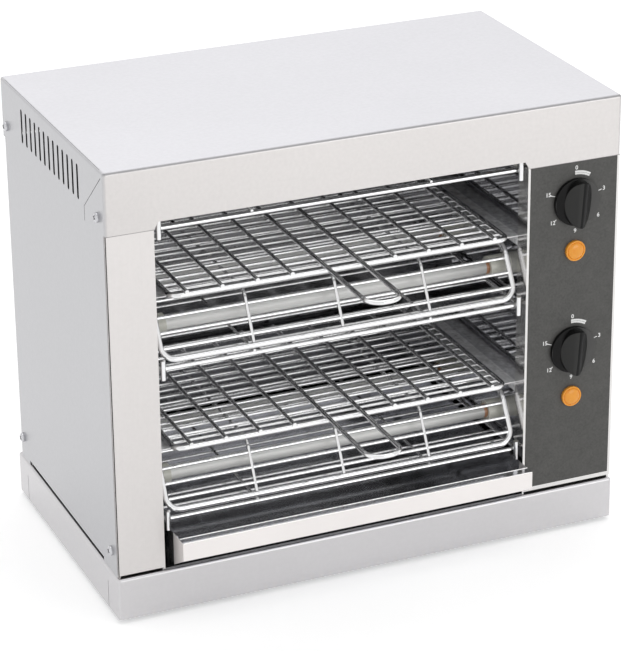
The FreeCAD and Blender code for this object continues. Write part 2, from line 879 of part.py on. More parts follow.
# Bus links: strips outside the chamber that join the front and rear tube pins of each bank.
for side, x in (
    ("left", wall_left - v.neck_length - v.fit_gap - v.link_sheet),
    ("right", wall_right + v.neck_length + v.fit_gap),
):
    links = []
    for bank, end, y, z in tube_places:
        if end == "front":
            name = "%s_%s_link" % (side, bank)
            edge = v.link_width / 2
            strip_length = v.tube_spacing + v.link_width
            strip = box(name + "_strip", v.link_sheet, strip_length, v.link_width, x, y - edge, z - edge)
            holes = []
            for index in range(2):
                place = y + index * v.tube_spacing
                radius = v.pin_radius + v.shaft_clearance
                holes.append(rod("%s_hole_%d" % (name, index + 1), radius, v.link_sheet, "X", x, place, z))
            links.append(cut(name, strip, holes))
    keep(side + "_bus_links", group(side + "_link_set", links))


# Racks: a rod frame with cross wires in its plane and long wires over them.
def rack_shapes():
    near = 0
    far = v.rack_depth.number
    side = v.rack_half_width.number
    corners = [(-side, near, 0), (side, near, 0), (side, far, 0), (-side, far, 0)]
    shapes = [wire(corners, v.rack_corner, v.rack_rod, closed=True)]
    for y in steps(v.cross_pitch, v.cross_pitch, v.rack_depth - v.cross_pitch / 2):
        shapes.append(straight(v.cross_wire, (-side, y, 0), (side, y, 0)))
    over = v.cross_wire + v.long_wire - v.weld
    overlap = v.rack_rod
    for index in range(1, int(v.long_pairs.number)):
        for sign in (-1, 1):
            x = sign * (index + 0.5) * v.long_pitch.number
            shapes.append(straight(v.long_wire, (x, -overlap, over), (x, far + overlap.number, over)))
    return shapes


def handle_shape():
    x = v.long_pitch.number / 2
    over = v.cross_wire + v.handle_wire - v.weld
    reach = -v.handle_reach - v.rack_back
    far = v.rack_depth + v.rack_rod
    points = [(-x, far, over), (-x, reach, over), (x, reach, over), (x, far, over)]
    return wire(points, v.handle_bend, v.handle_wire)


for level, name in enumerate(LEVELS):
    place = (opening_middle, front + v.rack_back, top - v.rack_drop - level * v.level_pitch)
    keep(name + "_rack", move(weldment(name + "_rack_grid", rack_shapes()), *place))
    keep(name + "_rack_handle", move(weldment(name + "_hairpin", [handle_shape()]), *place))


# Cages: a rod hoop over the tubes that leans down in front of them, with wires across it.
# Each one is a single basket, kept as a flat top and a leaning fence that meet behind the bend.
def cage_shapes():
    side = v.cage_half_width.number
    far = (v.cavity_depth - v.cage_back - v.fit_gap).number
    low = (v.cage_drop - v.cage_foot_drop).number
    lean = v.cage_lean.number
    hoop = [(-side, far, 0), (-side, lean, 0), (-side, 0, low), (side, 0, low), (side, lean, 0), (side, far, 0)]
    shapes = [wire(hoop, v.cage_bend, v.cage_rod)]
    for y in steps(v.cage_lean + v.cage_pitch / 2, v.cage_pitch, far):
        shapes.append(straight(v.cage_wire, (-side, y, 0), (side, y, 0)))
    count = int(v.fence_wires.number)
    for index in range(count):
        share = (index + 0.75) / (count + 0.5)
        y = lean * (1 - share)
        z = low * share
        shapes.append(straight(v.cage_wire, (-side, y, z), (side, y, z)))
    for index in (-1, 0, 1):
        x = index * v.cage_long_pitch.number
        rise = (2 * v.cage_wire - v.weld).number
        path = [(x, far, rise), (x, lean, rise), (x, 0, low)]
        shapes.append(wire(path, v.cage_bend, v.cage_wire))
    return shapes


for level, name in enumerate(LEVELS):
    place = (opening_middle, front + v.cage_back, top - v.cage_drop - level * v.level_pitch)
    basket = move(weldment(name + "_cage_grid", cage_shapes()), *place)
    split = front + v.cage_back + v.cage_lean + v.cage_pitch / 2 - v.cage_rod
    behind = box(
        name + "_cage_behind",
        wall_gap,
        cavity_back - split,
        4 * v.cage_rod,
        wall_left,
        split,
        top - v.cage_drop - level * v.level_pitch - 2 * v.cage_rod,
    )
    flat = doc.addObject("Part::Common", name + "_cage_flat")
    flat.Base = basket
    flat.Tool = behind
    keep(name + "_cage_top", flat)
    keep(name + "_cage_fence", cut(name + "_cage_slope", basket, [behind]))


# Guards: flat rod frames with cross wires, and an upright peg in front of each front corner.
def guard_shapes():
    side = v.guard_half_width.number
    far = (v.cavity_depth - v.guard_back - v.guard_rod - v.fit_gap).number
    corners = [(-side, 0, 0), (side, 0, 0), (side, far, 0), (-side, far, 0)]
    shapes = [wire(corners, v.guard_bend, v.guard_rod, closed=True)]
    for y in steps(v.guard_pitch, v.guard_pitch, far - v.guard_pitch.number / 2):
        shapes.append(straight(v.guard_wire, (-side, y, 0), (side, y, 0)))
    over = 2 * v.guard_wire - v.weld
    for sign in (-1, 1):
        x = sign * v.cage_long_pitch.number
        shapes.append(straight(v.guard_wire, (x, -v.guard_wire, over), (x, far + v.guard_wire.number, over)))
    return shapes


guard_drops = {"ceiling": v.ceiling_guard_drop}
for level, name in enumerate(LEVELS):
    guard_drops[name] = v.guard_drop + level * v.level_pitch
for name, drop in guard_drops.items():
    grid = move(weldment(name + "_guard_grid", guard_shapes()), opening_middle, front + v.guard_back, top - drop)
    pegs = []
    peg_reach = v.guard_half_width - v.guard_rod
    peg_y = front + v.guard_back - v.guard_rod - v.peg_radius - v.peg_gap
    for side, x in (("left", opening_middle - peg_reach), ("right", opening_middle + peg_reach)):
        peg_name = "%s_guard_%s_peg" % (name, side)
        pegs.append(rod(peg_name, v.peg_radius, v.peg_length, "Z", x, peg_y, top - drop - v.peg_drop))
    keep(name + "_guard", group(name + "_guard_set", [grid] + pegs))

# Crumb tray: a shallow pan whose front rises to a hooked lip outside the opening.
tray_bottom = floor_top + v.tray_running_gap
tray_top = tray_bottom + v.tray_height
lip_front = front - v.tray_lip
rim_back = lip_front + v.tray_rim
pan_front = front + v.tray_slope
pan_back = front + v.tray_back
lip_low = tray_top - v.tray_face
tuck = (front - v.tray_tuck, tray_bottom + v.tray_tuck_lift)
tray = prism(
    "crumb_tray_pan",
    "YZ",
    [
        (lip_front, tray_top),
        (lip_front, lip_low),
        tuck,
        (pan_front, tray_bottom),
        (pan_back, tray_bottom),
        (pan_back, tray_top),
    ],
    v.tray_width,
)
hollows = {
    "pan": [
        (rim_back + v.tray_sheet, tray_top),
        (pan_front + v.tray_sheet / 2, tray_bottom + v.tray_sheet),
        (pan_back - v.tray_sheet, tray_bottom + v.tray_sheet),
        (pan_back - v.tray_sheet, tray_top),
    ],
    "lip": [
        (lip_front + v.tray_sheet, tray_top - v.tray_sheet),
        (lip_front + v.tray_sheet, lip_low + v.tray_sheet / 2),
        (front - v.tray_tuck + v.tray_sheet, tray_bottom + v.tray_tuck_lift + v.tray_sheet / 2),
        (front - v.tray_tuck + v.tray_sheet, tray_bottom - v.tray_sheet),
        (pan_front - v.tray_sheet / 2, tray_bottom - v.tray_sheet),
        (pan_front - v.tray_sheet / 2, tray_bottom),
        (rim_back, tray_top - v.tray_sheet),
    ],
}
for name, corners in hollows.items():
    hollow = new_sketch(tray, "tray_%s_hollow" % name, "YZ")
    outline(hollow, corners)
    pocket = tray.newObject("PartDesign::Pocket", "tray_%s_pocket" % name)
    pocket.Profile = hollow
    pocket.Midplane = True
    pocket.setExpression("Length", (v.tray_width - 2 * v.tray_sheet).formula)
keep("crumb_tray", move(tray, tray_middle, 0, 0))

# Rear panel: closes the back between the sides, with vent slots and the mains cable entry.
rear_height = hood_bottom - plinth_top
rear_plate = box(
    "rear_plate", v.body_width - 2 * v.sheet, v.sheet, rear_height, v.sheet - half_width, rear_face - v.sheet, plinth_top
)
rear_flanges = []
flange_back = rear_face - v.sheet - v.flange_depth
for side, x in (("left", -flange_face), ("right", flange_face - v.sheet)):
    rear_flanges.append(
        box("rear_flange_" + side, v.sheet, v.flange_depth + v.sheet, rear_height + v.hood_lap * 2, x, flange_back, plinth_top)
    )
gland_x = half_width - v.gland_inset
gland_z = plinth_top + v.gland_lift
rear_tools = screw_holes("rear")
gland_hole_radius = v.gland_thread + v.gland_clearance
rear_tools.append(rod("gland_hole", gland_hole_radius, 3 * v.sheet, "Y", gland_x, rear_face - 2 * v.sheet, gland_z))
for index in range(int(v.rear_slot_count.number)):
    x = v.rear_slot_left - half_width + index * v.rear_slot_pitch
    z = top - v.rear_slot_drop - v.rear_slot_height
    name = "rear_slot_%d" % (index + 1)
    rear_tools.append(box(name, v.rear_slot_width, 3 * v.sheet, v.rear_slot_height, x, rear_face - 2 * v.sheet, z))
keep("rear_panel", cut("rear_panel_pierced", fuse("rear_panel_blank", [rear_plate] + rear_flanges), rear_tools))

# Cable gland with its nut inside the panel.
thread_start = rear_face - v.gland_thread_length
thread_length = v.gland_thread_length + v.gland_flange_height
nose_start = rear_face + v.gland_flange_height
gland_length = thread_length + v.gland_nose_length
gland_blank = fuse(
    "gland_blank",
    [
        rod("gland_screw", v.gland_thread, thread_length, "Y", gland_x, thread_start, gland_z),
        rod("gland_collar", v.gland_flange, v.gland_flange_height, "Y", gland_x, rear_face, gland_z),
        cone("gland_cone", v.gland_flange - v.sheet, v.gland_nose, v.gland_nose_length, "Y", gland_x, nose_start, gland_z),
    ],
)
gland_bore = rod("gland_bore_hole", v.gland_bore, gland_length, "Y", gland_x, thread_start, gland_z)
keep("cable_gland", cut("gland_bored", gland_blank, [gland_bore]))
nut = doc.addObject("Part::Prism", "nut_blank")
nut.Polygon = 6
nut.Placement = Placement(Vector(), TURNS["Y"])
set_size(nut, Circumradius=v.gland_nut, Height=v.gland_nut_height)
nut_start = rear_face - v.sheet - v.gland_nut_height
move(nut, gland_x, nut_start, gland_z)
nut_bore = rod("nut_bore", v.gland_thread + v.shaft_clearance, v.gland_nut_height, "Y", gland_x, nut_start, gland_z)
keep("gland_nut", cut("nut_bored", nut, [nut_bore]))

# Terminal block on the plinth behind the control panel.
block_x = (wall_right + half_width) / 2 - v.block_width / 2
block_y = front + v.block_back
block = box("block_blank", v.block_width, v.block_length, v.block_height, block_x, block_y, plinth_top)
ways = []
way_pitch = v.block_length / v.block_ways
for index in range(int(v.block_ways.number)):
    y = block_y + way_pitch * (index + 0.5) - v.block_way / 2
    z = plinth_top + v.block_height - v.block_slot
    ways.append(box("block_way_%d" % (index + 1), v.block_width / 2, v.block_way, v.block_slot, block_x, y, z))
keep("terminal_block", cut("terminal_block_slotted", block, ways))

doc.recompute()
for thing in doc.Objects:
    if "Invalid" in thing.State or "Error" in thing.State:
        raise RuntimeError("%s did not build: %s" % (thing.Name, thing.State))
os.makedirs("parts", exist_ok=True)
for node, thing in parts.items():
    shape = thing.Shape
    if shape.isNull() or not shape.isValid() or not shape.Solids:
        raise RuntimeError("%s has no valid solid" % node)
    shape.exportStep("parts/%s.step" % node)
print("%d nodes written" % len(parts))
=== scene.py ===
import math

import bmesh
import bpy
from mathutils import Euler, Matrix, Vector


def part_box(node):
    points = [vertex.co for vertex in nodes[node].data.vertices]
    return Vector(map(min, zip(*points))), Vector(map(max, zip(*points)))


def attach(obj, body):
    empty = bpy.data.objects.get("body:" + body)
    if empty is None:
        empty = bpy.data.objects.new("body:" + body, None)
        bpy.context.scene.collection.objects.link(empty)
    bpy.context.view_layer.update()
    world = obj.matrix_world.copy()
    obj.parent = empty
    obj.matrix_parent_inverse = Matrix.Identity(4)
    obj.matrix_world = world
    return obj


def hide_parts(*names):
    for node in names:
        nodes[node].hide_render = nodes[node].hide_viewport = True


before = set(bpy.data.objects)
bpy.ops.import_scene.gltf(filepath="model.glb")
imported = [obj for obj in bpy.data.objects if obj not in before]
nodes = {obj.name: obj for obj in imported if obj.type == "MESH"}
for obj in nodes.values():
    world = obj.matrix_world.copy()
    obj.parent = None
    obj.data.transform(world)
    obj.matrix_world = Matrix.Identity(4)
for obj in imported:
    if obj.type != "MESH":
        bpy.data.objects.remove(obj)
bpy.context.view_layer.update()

# The view: a long lens from the front left and above, at the height of a standing person.
# It frames the whole machine as a picture 625 by 651 pixels.
camera_place = Vector((-0.8625, -2.0446, 1.1331))
camera_turn = math.radians(23.55)
camera_tilt = math.radians(22.74)
camera_roll = math.radians(-0.39)
camera_data = bpy.data.cameras.new("view")
camera_data.sensor_width = 36
camera_data.lens = 155.8
camera_data.shift_x = -0.043
camera_data.shift_y = -0.05
camera = bpy.data.objects.new("view", camera_data)
bpy.context.collection.objects.link(camera)
facing = Euler((math.pi / 2 - camera_tilt, 0, -camera_turn)).to_matrix().to_4x4()
camera.matrix_world = Matrix.Translation(camera_place) @ facing @ Matrix.Rotation(camera_roll, 4, "Z")
bpy.context.scene.camera = camera
bpy.context.scene.view_settings.view_transform = "Standard"


# Stainless sheet of the cover: one piece folded over the top and both sides, and the rear panel.
# The mill brushed it along the width of the sheet, so the grain runs down the folded sides.
# The top is painted lighter and the sides darker than the front, as painted light and shade; the front fold and
# the punched edges of the vent slots are darkened as painted shade.
class Field:
    """A number or colour that changes over a surface."""

    def __init__(self, finish, socket):
        self.finish = finish
        self.socket = socket

    def __add__(self, other):
        return self.finish.maths("ADD", self, other)

    def __sub__(self, other):
        return self.finish.maths("SUBTRACT", self, other)

    def __rsub__(self, other):
        return self.finish.maths("SUBTRACT", other, self)

    def __mul__(self, other):
        return self.finish.maths("MULTIPLY", self, other)

    def __gt__(self, other):
        return self.finish.maths("GREATER_THAN", self, other)

    def __lt__(self, other):
        return self.finish.maths("LESS_THAN", self, other)

    __radd__ = __add__
    __rmul__ = __mul__


class Finish:
    """A surface finish: one principled shader, its constant values and what varies over it."""

    def __init__(self, name, **constants):
        self.material = bpy.data.materials.new(name)
        self.material.use_nodes = True
        self.tree = self.material.node_tree
        self.shader = self.tree.nodes["Principled BSDF"]
        for words, value in constants.items():
            self.shader.inputs[words.replace("_", " ")].default_value = value
        self.place = self.node("ShaderNodeTexCoord", {}, {}, "Object")

    def node(self, kind, settings, inputs, output=0):
        """Any node: its settings, then the values or links of its sockets."""
        made = self.tree.nodes.new(kind)
        for word, setting in settings.items():
            setattr(made, word, setting)
        for word, value in inputs.items():
            if isinstance(value, Field):
                self.tree.links.new(value.socket, made.inputs[word])
            else:
                made.inputs[word].default_value = value
        return Field(self, made.outputs[output])

    def maths(self, operation, *values):
        return self.node("ShaderNodeMath", {"operation": operation}, dict(enumerate(values)))

    def noise(self, scale, stretch=(1, 1, 1), detail=3.0, seed=0.0):
        """Cloudy variation from 0 to 1, finer across the directions with a large stretch."""
        spot = {"Vector": self.place, "Scale": stretch, "Location": (seed, seed, seed)}
        cloud = {"Vector": self.node("ShaderNodeMapping", {}, spot), "Scale": scale, "Detail": detail}
        return self.node("ShaderNodeTexNoise", {}, cloud)

    def ramp(self, value, start, end):
        """A share that rises from 0 at the start to 1 at the end."""
        return self.node("ShaderNodeMapRange", {}, {"Value": value, "From Min": start, "From Max": end})

    def blend(self, share, first, second):
        """A colour between two colours."""
        return self.node("ShaderNodeMix", {"data_type": "RGBA"}, {0: share, 6: first, 7: second}, 2)

    def shade(self, colour, amount):
        """A colour made lighter or darker by a share about 1."""
        settings = {"data_type": "RGBA", "blend_type": "MULTIPLY"}
        return self.node("ShaderNodeMix", settings, {0: 1.0, 6: colour, 7: amount}, 2)

    def axis(self, vector, letter):
        return self.node("ShaderNodeSeparateXYZ", {}, {0: vector}, letter)

    def normal_part(self, letter):
        """How far a surface faces along one axis, from 0 to 1."""
        geometry = self.node("ShaderNodeNewGeometry", {}, {}, "True Normal")
        return self.maths("ABSOLUTE", self.axis(geometry, letter))

    def relief(self, height, distance):
        """Fine relief, in metres, on the surface normal."""
        return self.node("ShaderNodeBump", {}, {"Height": height, "Distance": distance})

    def vary(self, **fields):
        for words, value in fields.items():
            self.tree.links.new(value.socket, self.shader.inputs[words.replace("_", " ")])
        return self


def dress(finish, *names):
    """Give CAD nodes a finish."""
    for name in names:
        nodes[name].data.materials.clear()
        nodes[name].data.materials.append(finish.material)


cover_low, cover_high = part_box("outer_cover")
cover_shift = nodes["outer_cover"].matrix_world.translation
edge_depth = 0.0014
slots_reach = 0.120
cover_steel = Finish("cover_steel", Metallic=1.0)
sideways = cover_steel.normal_part("X")
upward = cover_steel.normal_part("Z")
# Painted shade along the front fold.
fold_painted_shade = upward * cover_steel.normal_part("Y")
grain_down = cover_steel.noise(900.0, (1, 1, 0.02), 2.0)
grain_across = cover_steel.noise(900.0, (0.02, 1, 1), 2.0, 0.4)
brush = sideways * grain_down + (1 - sideways) * grain_across
cloud = cover_steel.noise(2.5, detail=4.0, seed=3.7)
smudge = cover_steel.noise(9.0, detail=5.0, seed=9.1)
mottle = cover_steel.noise(330.0, detail=2.0, seed=1.3)
tone = 0.09 * (cloud - 0.5) + 0.03 * (brush - 0.5) + 0.05 * (smudge - 0.5) + 0.10 * (mottle - 0.5)
# Painted light and shade: the front, top and sides get lighter or darker copies of one steel colour.
face = cover_steel.blend(upward, (0.598, 0.577, 0.568, 1), (0.750, 0.745, 0.775, 1))
facing_painted_tone = cover_steel.blend(sideways, face, (0.497, 0.497, 0.511, 1))
off_middle = cover_steel.maths("ABSOLUTE", cover_steel.axis(cover_steel.place, "X") + cover_shift.x)
off_centre = cover_steel.maths("ABSOLUTE", cover_steel.axis(cover_steel.place, "Y") + cover_shift.y)
in_sheet = (off_middle > cover_high[0] - edge_depth) * (off_centre < slots_reach)
# Painted shade on the punched edges of the vent slots.
slot_edge_painted_shade = in_sheet * (sideways < 0.5) * (upward < 0.98)
cover_steel.vary(
    Base_Color=cover_steel.shade(facing_painted_tone, (1 + tone - 1.1 * fold_painted_shade) * (1 - 0.85 * slot_edge_painted_shade)),
    Roughness=0.36 + 0.05 * (smudge - 0.5) + 0.03 * (brush - 0.5),
    Normal=cover_steel.relief(brush, 0.000003),
)
dress(cover_steel, "outer_cover", "rear_panel")


# Uprights beside the opening: folded strips of the same sheet, with the grain upright.
# The right one is a brighter sheet and carries the dark dial plate.
# They butt against the hood, and the left one against the folded side, with hair joints; thin dark strips laid in
# them are painted shade.
def steel(name, colour, rough, grain, spread=0.10, relief=0.000003, clouds=2.5, metallic=1.0):
    """Satin steel about one colour, with its grain along an axis letter."""
    smear = 0.05
    finish = Finish(name, Metallic=metallic)
    along = {"X": (0.02, 1, 1), "Y": (1, 0.02, 1), "Z": (1, 1, 0.02)}
    brush = finish.noise(900.0, along[grain], 2.0)
    cloud = finish.noise(clouds, detail=4.0, seed=3.7)
    smudge = finish.noise(9.0, detail=5.0, seed=9.1)
    mottle = finish.noise(330.0, detail=2.0, seed=1.3)
    tone = 0.9 * (cloud - 0.5) + 0.35 * (brush - 0.5) + 0.5 * (smudge - 0.5) + 0.6 * (mottle - 0.5)
    return finish.vary(
        Base_Color=finish.shade((*colour, 1), 1 + spread * tone),
        Roughness=rough + smear * (smudge - 0.5) + 0.5 * smear * (brush - 0.5),
        Normal=finish.relief(brush, relief),
    )


def mesh_object(name, bm):
    mesh = bpy.data.meshes.new(name)
    bm.to_mesh(mesh)
    bm.free()
    made = bpy.data.objects.new(name, mesh)
    bpy.context.collection.objects.link(made)
    return made


def finished(thing, finish, body):
    """Give a mesh its finish and let it ride on a body."""
    thing.data.materials.clear()
    thing.data.materials.append(finish.material)
    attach(thing, body)
    return thing


stile_steel = steel("stile_steel", (0.655, 0.632, 0.622), 0.35, "Z")
dress(stile_steel, "left_stile")
panel_steel = steel("panel_steel", (0.72, 0.71, 0.70), 0.14, "Z")
dress(panel_steel, "control_panel")
# Painted shade: a grey strip in each joint under the hood, and a near-black strip as painted shadow in the gap
# beside the left upright.
joint_painted_shade = steel("joint_painted_shade", (0.28, 0.27, 0.27), 0.5, "X")
gap_painted_shadow = steel("gap_painted_shadow", (0.035, 0.035, 0.035), 0.5, "X")
hood_bottom = 0.338
joint_width = 0.0005
gap_width = 0.0007
gap_foot = 0.002
joint_lift = 0.00006


def joint_line(name, low, high, finish):
    """A hair-thin dark strip on the front, painted shade in a butt joint between sheets: from one corner (x, z) to
    the other.
    """
    bm = bmesh.new()
    front = cover_low[1] - joint_lift
    corners = [(low[0], low[1]), (high[0], low[1]), (high[0], high[1]), (low[0], high[1])]
    bm.faces.new([bm.verts.new((x, front, z)) for x, z in corners])
    finished(mesh_object(name, bm), finish, "root")


for hand, upright in (("left", "left_stile"), ("right", "control_panel")):
    low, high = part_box(upright)
    start = (low[0] + joint_width, hood_bottom - joint_width)
    joint_line(hand + "_joint_line", start, (high[0] - joint_width, hood_bottom), joint_painted_shade)
low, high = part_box("left_stile")
joint_line("left_edge_gap_shadow", (low[0], low[2] + gap_foot), (low[0] + gap_width, hood_bottom), gap_painted_shadow)

# Plinth and base plate: a folded pan under the body, closed from below by plated sheet.
# Four rubber buttons carry it.
plinth_steel = steel("plinth_steel", (0.600, 0.590, 0.600), 0.34, "X")
dress(plinth_steel, "plinth")
plate_zinc = steel("zinc_plate", (0.46, 0.47, 0.48), 0.42, "X", spread=0.4, clouds=30.0)
dress(plate_zinc, "base_plate")
foot_rubber = Finish("foot_rubber", Specular_IOR_Level=0.3)
grit = foot_rubber.noise(700.0, detail=4.0)
foot_rubber.vary(
    Base_Color=foot_rubber.blend(grit, (0.012, 0.012, 0.012, 1), (0.035, 0.034, 0.033, 1)),
    Roughness=0.65 + 0.25 * grit,
    Normal=foot_rubber.relief(grit, 0.0001),
)
dress(foot_rubber, "front_left_foot", "front_right_foot", "rear_left_foot", "rear_right_foot")

# Chamber: walls, roof and floor of polished sheet; the right wall is painted lighter as painted light.
# The back wall and the floor are painted dark, as painted shade deep in the chamber.
# The rack rails are angles of duller, mottled sheet, spot welded to the walls.
levels = ("upper", "lower")
chamber_steel = steel("chamber_steel", (0.42, 0.42, 0.43), 0.07, "Y", spread=0.3, relief=0.000001, clouds=6.0)
dress(chamber_steel, "cavity_left_wall", "roof_reflector", "left_support_pins", "right_support_pins")
# Painted light: the right wall is a lighter copy of the chamber sheet.
right_wall_painted_light = steel("right_wall_painted_light", (0.66, 0.66, 0.68), 0.05, "Y", spread=0.3, relief=0.000001, clouds=6.0)
dress(right_wall_painted_light, "cavity_right_wall")
# Painted shade: the back wall and floor are darker than the other walls.
back_painted_shade = steel("back_painted_shade", (0.17, 0.17, 0.175), 0.16, "X", spread=0.5, relief=0.000002, clouds=6.0)
dress(back_painted_shade, "cavity_back_wall", "cavity_floor")
rail_steel = steel("rail_steel", (0.90, 0.90, 0.91), 0.14, "Y", spread=1.2, clouds=150.0, metallic=0.25)
dress(rail_steel, *[level + "_rail_" + hand for level in levels for hand in ("left", "right")])

# Racks, cages and guards: welded wire, plated bright, with small ripples from drawing.
# The heat leaves them a little dull in places.
wire_plating = Finish("wire_plating", Metallic=1.0)
ripple = wire_plating.noise(160.0, detail=3.0)
stain = wire_plating.noise(14.0, detail=5.0, seed=2.0)
wire_plating.vary(
    Base_Color=wire_plating.blend(stain, (0.88, 0.88, 0.89, 1), (0.70, 0.70, 0.70, 1)),
    Roughness=0.05 + 0.10 * stain,
    Normal=wire_plating.relief(ripple, 0.00004),
)
dress(wire_plating, "ceiling_guard")
for level in levels:
    dress(wire_plating, level + "_rack", level + "_rack_handle", level + "_guard")
    dress(wire_plating, level + "_cage_top", level + "_cage_fence")

# Quartz tubes: milky glass with faint drawing lines, smoked and scorched at the right caps.
# Glazed ceramic caps hold them. The winding inside is dull brown, and plated strips join its ends.
quartz = Finish("milky_quartz", Coat_Weight=0.6, Coat_Roughness=0.08)
streak = quartz.noise(260.0, (0.03, 1, 1), 3.0)
along = quartz.axis(quartz.place, "X")
cap_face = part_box("right_tube_caps")[0][0]
scorch_length = 0.003
smoke_length = 0.060
scorch = along > cap_face - scorch_length
smoke = quartz.ramp(along, cap_face - smoke_length, cap_face)
milk = quartz.blend(streak, (0.84, 0.84, 0.82, 1), (0.95, 0.95, 0.93, 1))
quartz.vary(
    Base_Color=quartz.blend(scorch, quartz.shade(milk, 1 - 0.45 * smoke), (0.42, 0.20, 0.10, 1)),
    Roughness=0.22 + 0.2 * streak,
)
banks = ("top", "middle", "bottom")
dress(quartz, *[bank + "_" + row + "_quartz_tube" for bank in banks for row in ("front", "rear")])
ceramic = Finish("glazed_ceramic", Coat_Weight=0.5, Coat_Roughness=0.15)
speck = ceramic.noise(420.0, detail=5.0)
ceramic.vary(
    Base_Color=ceramic.blend(speck, (0.60, 0.60, 0.53, 1), (0.80, 0.79, 0.72, 1)),
    Roughness=0.35 + 0.3 * speck,
    Normal=ceramic.relief(speck, 0.00005),
)
dress(ceramic, "left_tube_caps", "right_tube_caps")
winding = steel("winding", (0.23, 0.15, 0.11), 0.5, "X", spread=0.6)
dress(winding, "heating_coils")
strip_copper = steel("strip_copper", (0.70, 0.41, 0.28), 0.35, "Y", spread=0.5)
dress(strip_copper, "left_bus_links", "right_bus_links")

# Crumb tray: a polished pan whose satin hooked lip stands out under the opening.
# It slides in and out between the guides on the floor. Both edges of its rim are rolled to a bead.
tray_low, tray_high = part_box("crumb_tray")
tray_shift = nodes["crumb_tray"].matrix_world.translation
lip_depth = 0.0115
end_depth = 0.0225
tray_steel = Finish("tray_steel")
from_lip = tray_steel.axis(tray_steel.place, "Y") - (tray_low[1] - tray_shift.y)
end_face = (tray_steel.normal_part("X") > 0.5) * (from_lip < end_depth)
flange = (tray_steel.normal_part("Z") > 0.7) * (from_lip < lip_depth) * (from_lip > 0.0004)
lip = end_face + (1 - end_face) * (from_lip < lip_depth) * (1 - flange)
drawn = tray_steel.noise(900.0, (0.02, 1, 1), 2.0)
film = tray_steel.noise(12.0, detail=5.0)
scuff = tray_steel.noise(60.0, (0.1, 1, 1), 4.0, 6.0)
pan = tray_steel.blend(scuff, (0.30, 0.30, 0.31, 1), (0.92, 0.93, 0.97, 1))
tray_steel.vary(
    Base_Color=tray_steel.shade(tray_steel.blend(lip, pan, (0.90, 0.865, 0.85, 1)), 1 + 0.08 * (film - 0.5)),
    Roughness=0.07 + 0.37 * lip + 0.04 * drawn,
    Metallic=0.90 - 0.35 * lip,
    Normal=tray_steel.relief(drawn, 0.000002),
)
dress(tray_steel, "crumb_tray")


def bar(bm, start, end, radius):
    """A straight round bar between two places."""
    along = end - start
    place = Matrix.Translation((start + end) / 2) @ along.to_track_quat("Z", "Y").to_matrix().to_4x4()
    size = {"radius1": radius, "radius2": radius, "depth": along.length}
    bmesh.ops.create_cone(bm, cap_ends=True, segments=16, matrix=place, **size)


bead_steel = steel("bead_steel", (0.90, 0.89, 0.88), 0.18, "X")
bead_radius = 0.0005
bm = bmesh.new()
for inset, drop in ((0.0004, 0.0003), (0.0088, 0.0001)):
    ends = (tray_low[0] + bead_radius, tray_high[0] - bead_radius)
    bar(bm, *[Vector((x, tray_low[1] + inset, tray_high[2] - drop)) for x in ends], bead_radius)
beads = finished(mesh_object("tray_rim_beads", bm), bead_steel, "tray_body")

# Dial plate: dark grey film with a fine hammered grain, stuck on the control panel.
# White scales are printed on it round both timers, with a band at the start of each.
plate_film = Finish("plate_film", Specular_IOR_Level=0.4)
grain = plate_film.noise(620.0, detail=5.0)
patch = plate_film.noise(90.0, detail=3.0, seed=5.0)
mixed = 0.7 * grain + 0.3 * patch
plate_film.vary(
    Base_Color=plate_film.blend(mixed, (0.030, 0.030, 0.028, 1), (0.132, 0.130, 0.124, 1)),
    Roughness=0.42 + 0.25 * grain,
    Normal=plate_film.relief(grain, 0.00006),
)
dress(plate_film, "dial_plate")
white_ink = Finish("white_ink", Specular_IOR_Level=0.3)
worn = white_ink.noise(900.0)
white_ink.vary(
    Base_Color=white_ink.blend(worn, (0.93, 0.93, 0.92, 1), (0.98, 0.98, 0.97, 1)),
    Roughness=0.5 + 0.2 * worn,
)
plate_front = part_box("dial_plate")[0][1]
ink_depth = 0.00008
# Each minute's clock angle and the radius of its number, then the inner and outer ends of its tick.
minutes = {
    0: (0, 0.0292),
    3: (74, 0.0271),
    6: (126, 0.0265),
    9: (180, 0.0264),
    12: (232, 0.0268),
    15: (289, 0.0272),
}
ticks = {3: (0.0209, 0.0249), 12: (0.0226, 0.0244), 15: (0.0205, 0.0248)}
tick_half = 0.9
number_size = 0.0050
number_weight = 0.022
band_inner = 0.0233
band_outer = 0.0267
band_line = 0.00010
band_angles = range(-3, 30, 3)


def on_plate(centre, radius, degrees):
    """A place on the front of the dial plate, by clock angle about a timer."""
    turn = math.radians(degrees)
    return Vector((centre.x + radius * math.sin(turn), plate_front, centre.z + radius * math.cos(turn)))


def ink_patch(bm, centre, inner, outer, start, end):
    """A printed patch between two radii and two clock angles, with a hair of thickness."""
    spots = ((inner, start), (inner, end), (outer, end), (outer, start))
    corners = [on_plate(centre, radius, degrees) for radius, degrees in spots]
    below, above = [[bm.verts.new(corner - Vector((0, lift, 0))) for corner in corners] for lift in (0, ink_depth)]
    bm.faces.new(above)
    for index in range(4):
        after = (index + 1) % 4
        bm.faces.new((below[index], below[after], above[after], above[index]))


